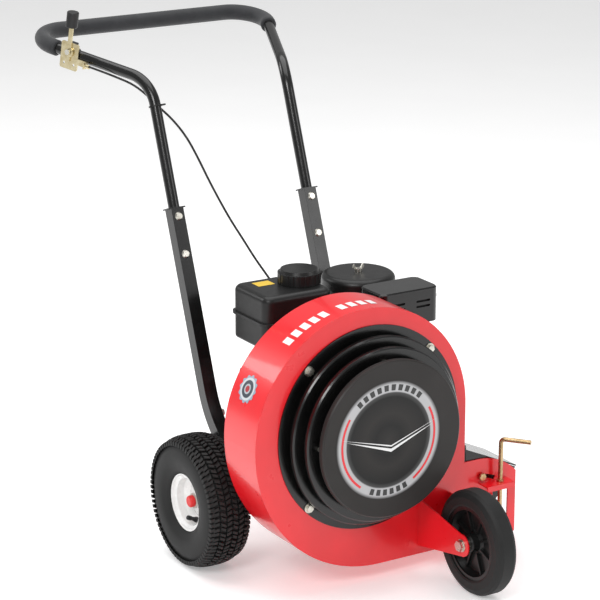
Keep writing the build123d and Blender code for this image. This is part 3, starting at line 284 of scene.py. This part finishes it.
FINISH = {
    "red_paint": RED, "red_plastic": RED_PLASTIC, "black_paint": BLACK, "charcoal_cover": CHARCOAL,
    "zinc_steel": ZINC, "bright_steel": STEEL, "yellow_zinc": YELLOW_ZINC, "foam": FOAM,
    "black_plastic": PLASTIC, "tyre_rubber": RUBBER, "white_paint": WHITE, "black_hub": HUB,
    "nylon": NYLON, "cast_alloy": CAST, "engine_black": ENGINE_BLACK, "cable_black": CABLE,
    "ceramic_rubber": RUBBER,
}
OWN_FINISH = {"throttle_knob": KNOB, "lock_pin": PIN_ZINC}

for entry in frame["record"]["subparts"]:
    node = frame["nodes"][entry["node"]]
    finish = OWN_FINISH.get(entry["node"], FINISH[entry["material_slot"]])
    if not node.material_slots:
        node.data.materials.append(finish)
    for slot in node.material_slots:
        slot.material = finish

# ---------------------------------------------------------------- camera

AZIMUTH = radians(-31.6)
ELEVATION = radians(16.7)
DISTANCE = 5.0
LENS = 146.6
LOOK_AT = Vector((-148.4, -250.0, 645.0)) * MM + SHIFT
back = Vector((sin(AZIMUTH) * cos(ELEVATION), -cos(AZIMUTH) * cos(ELEVATION), sin(ELEVATION)))
camera_data = bpy.data.cameras.new("camera")
camera_data.lens = LENS
camera_data.sensor_width = 36.0
camera = bpy.data.objects.new("camera", camera_data)
camera.location = LOOK_AT + back * DISTANCE
camera.rotation_euler = (pi / 2 - ELEVATION, 0, AZIMUTH)
bpy.context.scene.collection.objects.link(camera)
bpy.context.scene.camera = camera

# ---------------------------------------------------------------- throttle cable

ROUTE = [(-253.1, 474.0, 1017.2), (-238.2, 439.7, 1010.9), (-209, 424, 997), (-186, 399, 985),
         (-170, 371, 968), (-159, 332, 945), (-127, 318, 911), (-103, 300, 872),
         (-88, 277, 827), (-76, 254, 783), (-62, 232, 740), (-46, 211, 697),
         (-27, 189, 655), (-9, 166, 612), (10, 143, 574), (25, 120, 540),
         (38, 92, 506), (38, 92, 466)]
CABLE_DIAMETER = 0.005

cable_curve = bpy.data.curves.new("cable", "CURVE")
cable_curve.dimensions = "3D"
cable_curve.bevel_depth = CABLE_DIAMETER / 2
cable_curve.bevel_resolution = 4
cable_curve.resolution_u = 10
spline = cable_curve.splines.new("NURBS")
spline.points.add(len(ROUTE) - 1)
for point, place in zip(spline.points, ROUTE):
    point.co = (*(Vector(place) * MM + SHIFT), 1)
spline.order_u = 3
spline.use_endpoint_u = True
cable = bpy.data.objects.new("throttle_cable_sheath", cable_curve)
bpy.context.scene.collection.objects.link(cable)
cable_curve.materials.append(CABLE)
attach(cable, "machine")
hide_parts("throttle_cable")

# ---------------------------------------------------------------- rear tyres

TYRE_R = 146 * MM
LUG_HEIGHT = 7 * MM
LUG_ROWS = 6
LUGS_ROUND = 38
LUG_ROW_GAP = 14.6 * MM
LUG_WIDTH = 11.4 * MM
LUG_LEAN = 0.016
SHOULDER_LUG_WIDTH = 9 * MM
BEAD_R = 63 * MM
CROWN_DROP = 13 * MM


def rear_tyre(side_name):
    """A hollow carcass, with separate tread blocks that stand on it."""
    node = f"rear_tyre_{side_name}"
    centre = middle(node)
    low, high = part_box(node)
    half = (high[0] - low[0]) / 2
    carcass_r = TYRE_R - LUG_HEIGHT

    def crown(across):
        """Radius of the carcass at this distance from the middle."""
        return carcass_r - CROWN_DROP * abs(across / half) ** 3.2

    outer = []
    steps = 14
    for i in range(steps + 1):
        across = -half * 0.88 + 2 * half * 0.88 * i / steps
        outer.append((across, crown(across)))
    wall = [(half * 0.965, TYRE_R - 30 * MM), (half * 0.99, TYRE_R - 42 * MM),
            (half * 0.975, BEAD_R + 30 * MM), (half * 0.93, BEAD_R + 19 * MM),
            (half * 0.90, BEAD_R + 17 * MM), (half * 0.86, BEAD_R + 8 * MM),
            (half * 0.78, BEAD_R + 3.5 * MM), (half * 0.72, BEAD_R + 1 * MM)]
    inner = [(half * 0.60, BEAD_R + 4 * MM), (half * 0.70, BEAD_R + 22 * MM),
             (half * 0.70, TYRE_R - 40 * MM), (0, TYRE_R - 22 * MM)]
    profile = outer + wall + inner
    profile += [(-a, r) for a, r in reversed(inner[:-1])] + [(-a, r) for a, r in reversed(wall)]
    piece = new_object(f"{node}_carcass", lathe(node, profile, centre, 128), f"rear_wheel_{side_name}",
                       RUBBER)
    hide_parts(node)

    points = []
    faces = []

    def put(across, turn, lift):
        radius = crown(max(-half * 0.9, min(half * 0.9, across))) + lift
        return (centre.x + across, centre.y + radius * cos(turn), centre.z + radius * sin(turn))

    def lug(across, turn, width, length, lean):
        """One tapered block: width across the tyre, length round it, in radians."""
        first = len(points)
        for lift, grow in ((-3 * MM, 1.12), (LUG_HEIGHT * 0.8, 1.0), (LUG_HEIGHT, 0.86)):
            for u, v in ((-1, -1), (1, -1), (1, 1), (-1, 1)):
                x = across + u * width / 2 * grow
                points.append(put(x, turn + v * length / 2 * grow + lean * u, lift))
        for ring in (0, 4):
            for k in range(4):
                a = first + ring + k
                b = first + ring + (k + 1) % 4
                faces.append((a, b, b + 4, a + 4))
        faces.append(tuple(first + 8 + k for k in range(4)))

    pitch = tau / LUGS_ROUND
    for row in range(LUG_ROWS):
        across = (row - (LUG_ROWS - 1) / 2) * LUG_ROW_GAP
        edge = row in (0, LUG_ROWS - 1)
        for i in range(LUGS_ROUND):
            turn = (i + 0.5 * (row % 2)) * pitch
            lean = LUG_LEAN if row % 2 else -LUG_LEAN
            lug(across, turn - 0.21 * pitch, LUG_WIDTH, 0.30 * pitch, lean)
            lug(across, turn + 0.21 * pitch, LUG_WIDTH, 0.30 * pitch, lean)
            if edge:
                sign = 1 if across > 0 else -1
                for step in (-0.25, 0.25):
                    lug(across + sign * 7.5 * MM, turn + step * pitch, SHOULDER_LUG_WIDTH,
                        0.33 * pitch, sign * 0.012)
    tread = new_object(f"{node}_tread", mesh_from("tread", points, faces), f"rear_wheel_{side_name}",
                       RUBBER, smooth=False)


for side_name in ("left", "right"):
    rear_tyre(side_name)


VALVE_LEAN = -24


def valve_stem(side_name, sign):
    """Rubber valve with its cap, standing out of the rim's outer face."""
    centre = middle(f"rear_rim_{side_name}")
    start = centre + Vector((sign * 10 * MM, -4 * MM, -44 * MM))
    profile = [(0, 0.2), (0, 6.5), (4, 6.2), (8, 4.6), (15, 4.2), (16, 5.2), (24, 5.2),
               (25.5, 4.2), (25.5, 0.2)]
    mesh = lathe("valve", [(sign * a * MM, r * MM) for a, r in profile], start, 20)
    turn = Matrix.Rotation(sign * radians(VALVE_LEAN), 4, "Y")
    mesh.transform(Matrix.Translation(start) @ turn @ Matrix.Translation(-start))
    stem = new_object(f"valve_stem_{side_name}", mesh, f"rear_wheel_{side_name}", KNOB)


valve_stem("left", 1)
valve_stem("right", -1)

# ---------------------------------------------------------------- foam grip

GRIP_R = 18.3 * MM
GRIP_BORE_R = 12.6 * MM
TUBE_BEND = Vector((-171.0, 338.7, 1000.1)) * MM + SHIFT
TUBE_CORNER = Vector((-323.0, 690.0, 1064.0)) * MM + SHIFT
GRIP_START = 0.69
CORNER_R = 70 * MM


def grip_path():
    """Smooth line through the grip: straight, round one corner, along the bar and back."""
    start = TUBE_BEND.lerp(TUBE_CORNER, GRIP_START)
    inward = (start - TUBE_CORNER).normalized()
    along = Vector((1, 0, 0))
    half_turn = inward.angle(along) / 2
    reach = CORNER_R / (sin(half_turn) / cos(half_turn))
    middle_dir = (inward + along).normalized()
    hub = TUBE_CORNER + middle_dir * (CORNER_R / sin(half_turn))
    first = TUBE_CORNER + inward * reach - hub
    last = TUBE_CORNER + along * reach - hub
    path = [start]
    steps = 14
    for i in range(steps + 1):
        share = i / steps
        total = first.angle(last)
        spoke = (first * sin((1 - share) * total) + last * sin(share * total)) / sin(total)
        path.append(hub + spoke)
    mirror = [Vector((2 * SHIFT.x - p.x, p.y, p.z)) for p in reversed(path)]
    return path + mirror


def sweep_round(name, path, radius_at):
    """A round tube along path, with its radius at each point."""
    sides = 28
    points = []
    faces = []
    count = len(path)
    up = Vector((0, 0, 1))
    for i, place in enumerate(path):
        ahead = (path[min(i + 1, count - 1)] - path[max(i - 1, 0)]).normalized()
        first = ahead.cross(up).normalized()
        second = first.cross(ahead)
        for k in range(sides):
            turn = tau * k / sides
            points.append(place + (first * cos(turn) + second * sin(turn)) * radius_at[i])
    for i in range(count - 1):
        for k in range(sides):
            m = (k + 1) % sides
            faces.append((i * sides + k, i * sides + m, (i + 1) * sides + m, (i + 1) * sides + k))
    return mesh_from(name, points, faces)


def foam_grip():
    """The sleeve over the crossbar and both corners, with rounded ends."""
    path = grip_path()
    ahead = (path[1] - path[0]).normalized()
    behind = (path[-2] - path[-1]).normalized()
    inset = 2.2 * MM
    fine = [path[0], path[0] + ahead * 0.2 * MM, path[0] + ahead * inset] + path[1:-1]
    fine += [path[-1] + behind * inset, path[-1] + behind * 0.2 * MM, path[-1]]
    rounded_end = [GRIP_BORE_R, GRIP_R - inset, GRIP_R]
    radii = rounded_end + [GRIP_R] * (len(path) - 2) + rounded_end[::-1]
    piece = new_object("foam_grip_sleeve", sweep_round("grip", fine, radii), "machine", FOAM)
    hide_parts("foam_grip")


foam_grip()

# ---------------------------------------------------------------- decals


def flat_ring(name, centre, inner, outer, material, lift, start=0.0, sweep=tau, steps=96):
    """Ring or arc facing forward, in the plane of the round cover."""
    points = []
    faces = []
    for i in range(steps + 1):
        turn = start + sweep * i / steps
        for radius in (inner, outer):
            points.append((centre.x + radius * cos(turn), centre.y - lift, centre.z + radius * sin(turn)))
    for i in range(steps):
        faces.append((2 * i, 2 * i + 1, 2 * i + 3, 2 * i + 2))
    piece = new_object(name, mesh_from(name, points, faces), "machine", material, smooth=False)
    return piece


LABEL_R = 130.0 * MM
LABEL_CENTRE = Vector((-10.0, 0.0, 352.7)) * MM + SHIFT
ARC_RADII = (111.5 * MM, 116.5 * MM)
DASH_RADII = (107.5 * MM, 120.5 * MM)
PRINT_LIFT = 0.6 * MM
BAR_LIFT = 0.9 * MM


def label_film(centre):
    """Soft-edged silver band round a dark, faintly swirled middle."""
    film = Material("label_film", (0.015, 0.015, 0.015), 0.42)
    film.shader.inputs["Specular IOR Level"].default_value = 0.3
    split = film.nodes.new("ShaderNodeSeparateXYZ")
    film.links.new(film.coords, split.inputs[0])

    def math(kind, a, b):
        node = film.nodes.new("ShaderNodeMath")
        node.operation = kind
        for socket, value in zip(node.inputs, (a, b)):
            if isinstance(value, float):
                socket.default_value = value
            else:
                film.links.new(value, socket)
        return node.outputs[0]

    dx = math("SUBTRACT", split.outputs[0], centre.x)
    dz = math("SUBTRACT", split.outputs[2], centre.z)
    radius = math("SQRT", math("ADD", math("MULTIPLY", dx, dx), math("MULTIPLY", dz, dz)), 0.0)
    share = math("MULTIPLY", radius, 1 / LABEL_R)
    dark = (0.020, 0.018, 0.017)
    silver = (0.46, 0.46, 0.47)
    film.colour(share, [(0.0, (0.024, 0.022, 0.021)), (0.25, (0.009, 0.009, 0.009)),
                        (0.45, (0.021, 0.019, 0.018)), (0.72, (0.009, 0.009, 0.009)),
                        (0.79, (0.06, 0.06, 0.06)), (0.81, silver), (0.93, silver), (0.985, dark)])
    film.bump(film.noise(700.0), 0.03, 0.0002)
    return film.data


def front_label():
    """Round label on the cover: a band with arcs and dashes, and a line with two arms."""
    centre = LABEL_CENTRE.copy()
    centre.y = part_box("intake_cover")[0][1]
    red = decal("label_red", (0.75, 0.02, 0.03))
    white = decal("label_white", (0.80, 0.80, 0.80))
    ink = decal("label_ink", (0.02, 0.02, 0.02))
    flat_ring("cover_label", centre, 0.0001, LABEL_R, label_film(centre), 0.0003)
    for k, start in enumerate((-57, 147)):
        flat_ring(f"label_arc_{k}", centre, *ARC_RADII, red, PRINT_LIFT, radians(start), radians(86), 48)
    for k, (start, sweep, count) in enumerate(((45, 88, 10), (245, 50, 6))):
        for i in range(count):
            turn = radians(start + sweep * (i + 0.2) / count)
            flat_ring(f"label_dash_{k}_{i}", centre, *DASH_RADII, ink, PRINT_LIFT, turn,
                      radians(sweep * 0.6 / count), 4)
    tip = Vector((centre.x + 0.006, 0, centre.z - 0.012))
    arms = ((-0.119, 0.012, 0.0), (-0.104, 0.004, 1.0), (0.124, 0.020, 0.0), (0.112, 0.010, 1.0))
    for k, (reach, rise, low) in enumerate(arms):
        drop = 0.0075 * low
        wide = 0.0032 + 0.0038 * low
        points = [(centre.x + reach, centre.y - BAR_LIFT, centre.z + rise + 0.009),
                  (tip.x, centre.y - BAR_LIFT, tip.z - drop),
                  (tip.x, centre.y - BAR_LIFT, tip.z - drop - wide)]
        bar = new_object(f"label_bar_{k}", mesh_from("bar", points, [(0, 1, 2)]), "machine", white,
                         smooth=False)


front_label()

SPIRAL_LEFT = Vector((-7.0, 0.0, 343.0)) * MM + SHIFT
SPIRAL_LEFT_R = 270.0 * MM


def on_wrapper(turn, depth, lift):
    """A point on the housing's left half: turn up from straight left, depth from the front edge."""
    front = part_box("housing_front_plate")[0][1]
    radius = SPIRAL_LEFT_R + lift
    return (SPIRAL_LEFT.x - radius * cos(turn), front + depth, SPIRAL_LEFT.z + radius * sin(turn))


BADGE_TURN = radians(25.6)
BADGE_DEPTH = 74 * MM
DASH_PITCH = 5.1
DASH_SWEEP = 3.3
DASH_DEPTHS = (30 * MM, 58 * MM)
DASH_LIFT = 0.4 * MM


def side_badge():
    """Plain scalloped sticker, bent over the wrapper."""
    layers = (("rim", 29, 2.2, (0.30, 0.38, 0.47), 0.4), ("ring", 24.5, 0, (0.60, 0.63, 0.66), 0.6),
              ("field", 19, 0, (0.05, 0.06, 0.08), 0.8), ("band", 11, 0, (0.45, 0.48, 0.52), 1.0),
              ("dot", 7, 0, (0.40, 0.03, 0.04), 1.2))
    for name, reach, scallop, colour, lift in layers:
        points = []
        faces = []
        rings = 5
        steps = 96
        for j in range(rings + 1):
            for i in range(steps):
                angle = tau * i / steps
                edge = (reach + scallop * cos(12 * angle)) * MM * j / rings
                turn = BADGE_TURN + edge * sin(angle) / SPIRAL_LEFT_R
                points.append(on_wrapper(turn, BADGE_DEPTH + edge * cos(angle), lift * MM))
        for j in range(rings):
            for i in range(steps):
                k = (i + 1) % steps
                faces.append((j * steps + i, j * steps + k, (j + 1) * steps + k, (j + 1) * steps + i))
        piece = new_object(f"side_badge_{name}", mesh_from(name, points, faces), "machine",
                           decal(f"badge_{name}", colour))


side_badge()


def wrapper_dashes():
    """Plain white dashes along the wrapper's upper front edge."""
    white = decal("dash_white", (0.86, 0.86, 0.86))
    for start, count in ((51.0, 5), (81.0, 4)):
        for i in range(count):
            first = start + i * DASH_PITCH
            points = []
            steps = 4
            for j in range(steps + 1):
                for depth in DASH_DEPTHS:
                    points.append(on_wrapper(radians(first + DASH_SWEEP * j / steps), depth, DASH_LIFT))
            faces = [(2 * j, 2 * j + 1, 2 * j + 3, 2 * j + 2) for j in range(steps)]
            dash = new_object(f"wrapper_dash_{int(start)}_{i}", mesh_from("dash", points, faces), "machine",
                              white)


wrapper_dashes()


STOP_STUD_AT = Vector((293.0, -291.0, 183.7)) * MM + SHIFT


def stop_stud():
    """Plated head of the deflector's stop bolt, in front of its slot."""
    profile = [(0.4, 0.1), (0.4, 6.6), (2.4, 6.8), (2.6, 9.0), (-2.6, 9.0), (-3.4, 8.0), (-3.4, 0.1)]
    mesh = lathe("stud", [(a * MM, r * MM) for a, r in profile], Vector((0, 0, 0)), 6)
    mesh.transform(Matrix.Translation(STOP_STUD_AT) @ Matrix.Rotation(pi / 2, 4, "Z"))
    head = new_object("stop_stud_head", mesh, "deflector_flap", PIN_ZINC, smooth=False)
    soften(head, 0.5 * MM)


stop_stud()


TANK_TOP = 598 * MM
PATCH_CORNER = (40 * MM, 94 * MM)
PATCH_SIZE = (41 * MM, 31 * MM)


def tank_patch():
    """Plain yellow patch on the tank."""
    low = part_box("fuel_tank")[0]
    top = TANK_TOP + 0.4 * MM
    x0 = low[0] + PATCH_CORNER[0]
    y0 = low[1] + PATCH_CORNER[1]
    x1 = x0 + PATCH_SIZE[0]
    y1 = y0 + PATCH_SIZE[1]
    points = [(x0, y0, top), (x1, y0, top), (x1, y1, top), (x0, y1, top)]
    patch = new_object("tank_patch", mesh_from("patch", points, [(0, 1, 2, 3)]), "machine",
                       decal("patch_yellow", (0.85, 0.55, 0.02)), smooth=False)


tank_patch()

# ---------------------------------------------------------------- studio


FLOOR_HALF = 9
# name, place, size in metres, power in watts
LAMPS = (("key", (-3.2, -2.8, 3.4), 1.6, 100), ("fill", (3.0, -3.4, 2.0), 1.8, 30),
         ("top", (0.2, 0.4, 4.4), 4.5, 150), ("rim", (-2.8, 3.2, 2.8), 1.6, 40))
LAMPS_AIM = Vector((0, 0, 0.4))


def studio():
    """Pale floor, soft lamps, and a world that looks white but lights the object gently."""
    far = FLOOR_HALF
    corners = [(-far, -far, 0), (far, -far, 0), (far, far, 0), (-far, far, 0)]
    mesh = mesh_from("floor", corners, [(0, 1, 2, 3)])
    floor = bpy.data.objects.new("floor", mesh)
    bpy.context.scene.collection.objects.link(floor)
    pale = Material("floor_pale", (0.90, 0.90, 0.90), 0.75)
    pale.colour(pale.noise(3.0), [(0.3, (0.89, 0.89, 0.89)), (0.7, (0.91, 0.91, 0.91))])
    pale.shader.inputs["Emission Color"].default_value = (1, 1, 1, 1)
    pale.shader.inputs["Emission Strength"].default_value = 0.3
    mesh.materials.append(pale.data)
    world = bpy.data.worlds.new("world")
    world.use_nodes = True
    nodes = world.node_tree.nodes
    links = world.node_tree.links
    soft = nodes["Background"]
    soft.inputs["Color"].default_value = (1, 1, 1, 1)
    soft.inputs["Strength"].default_value = 0.42
    plain = nodes.new("ShaderNodeBackground")
    plain.inputs["Color"].default_value = (1, 1, 1, 1)
    path = nodes.new("ShaderNodeLightPath")
    mix = nodes.new("ShaderNodeMixShader")
    links.new(path.outputs["Is Camera Ray"], mix.inputs["Fac"])
    links.new(soft.outputs[0], mix.inputs[1])
    links.new(plain.outputs[0], mix.inputs[2])
    links.new(mix.outputs[0], nodes["World Output"].inputs["Surface"])
    bpy.context.scene.world = world
    for name, place, size, power in LAMPS:
        lamp = bpy.data.lights.new(name, "AREA")
        lamp.shape = "SQUARE"
        lamp.size = size
        lamp.energy = power
        light = bpy.data.objects.new(name, lamp)
        light.location = place
        light.rotation_euler = (LAMPS_AIM - Vector(place)).to_track_quat("-Z", "Y").to_euler()
        bpy.context.scene.collection.objects.link(light)
    bpy.context.scene.view_settings.view_transform = "Standard"


studio()
